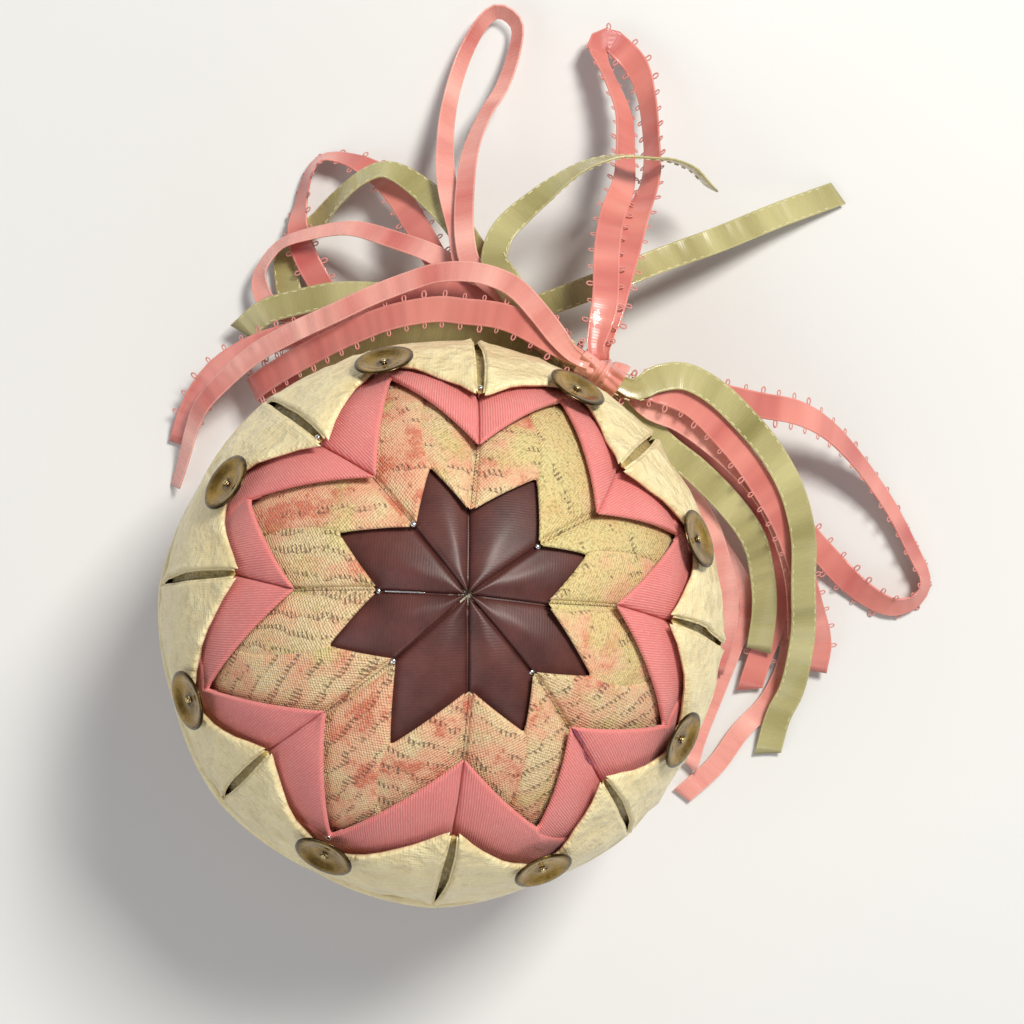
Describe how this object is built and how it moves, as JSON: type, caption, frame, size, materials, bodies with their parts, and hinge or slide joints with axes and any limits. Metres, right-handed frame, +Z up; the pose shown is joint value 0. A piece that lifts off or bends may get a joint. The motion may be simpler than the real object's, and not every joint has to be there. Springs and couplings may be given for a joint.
{
  "type": "quilted ball ornament",
  "caption": "Round ornament of folded cloth points pinned over a ball in layered star rounds, with sequins at the joins and a bunch of narrow satin ribbon loops and tails tied at its side.",
  "frame": {"origin": "centre of the small flat spot under the ball, on the surface that it lies on", "axes": "+Z up from the surface through the ball; the hanging loop and the bunch of ribbons lie towards +Y, and +X is the picture's right"},
  "size_m": [0.1245, 0.1384, 0.0784],
  "materials": {
    "ball": "satin",
    "star": "satin",
    "floral": "matte brocade",
    "ribbed": "ribbed",
    "damask": "satin",
    "band": "satin",
    "sequin": "glossy, metallised",
    "knot": "satin",
    "pink": "satin",
    "picot": "satin",
    "green": "satin"
  },
  "bodies": {
    "root": {"ball_body": "ball", "star_point_e": "star", "star_point_n": "star", "star_point_w": "star", "star_point_s": "star", "floral_point_e": "floral", "floral_point_ne": "floral", "floral_point_n": "floral", "floral_point_nw": "floral", "floral_point_w": "floral", "floral_point_sw": "floral", "floral_point_s": "floral", "floral_point_se": "floral", "ribbed_point_e": "ribbed", "ribbed_point_ne": "ribbed", "ribbed_point_n": "ribbed", "ribbed_point_nw": "ribbed", "ribbed_point_w": "ribbed", "ribbed_point_sw": "ribbed", "ribbed_point_s": "ribbed", "ribbed_point_se": "ribbed", "damask_point_e": "damask", "damask_point_ne": "damask", "damask_point_n": "damask", "damask_point_nw": "damask", "damask_point_w": "damask", "damask_point_sw": "damask", "damask_point_s": "damask", "damask_point_se": "damask", "middle_band": "band", "sequin_ene": "sequin", "sequin_nne": "sequin", "sequin_nnw": "sequin", "sequin_wnw": "sequin", "sequin_wsw": "sequin", "sequin_ssw": "sequin", "sequin_sse": "sequin", "sequin_ese": "sequin", "bow_knot": "knot", "ribbon_hanging_loop": "pink", "ribbon_left_tail": "pink", "ribbon_left_picot_tail": "picot", "ribbon_rim_picot_loop": "picot", "ribbon_left_green_tail": "green", "ribbon_rim_green_tail": "green", "ribbon_high_picot_loop": "picot", "ribbon_left_loop": "pink", "ribbon_high_green_loop": "green", "ribbon_green_curl": "green", "ribbon_green_straight": "green", "ribbon_top_picot_loop": "picot", "ribbon_right_green_tail": "green", "ribbon_right_picot_tail": "picot", "ribbon_right_tail": "pink", "ribbon_inner_picot_tail": "picot", "ribbon_inner_green_tail": "green", "ribbon_inner_tail": "pink", "ribbon_right_picot_loop": "picot", "ribbon_rim_tail": "pink", "ribbon_low_tail": "pink"}
  },
  "joints": []
}
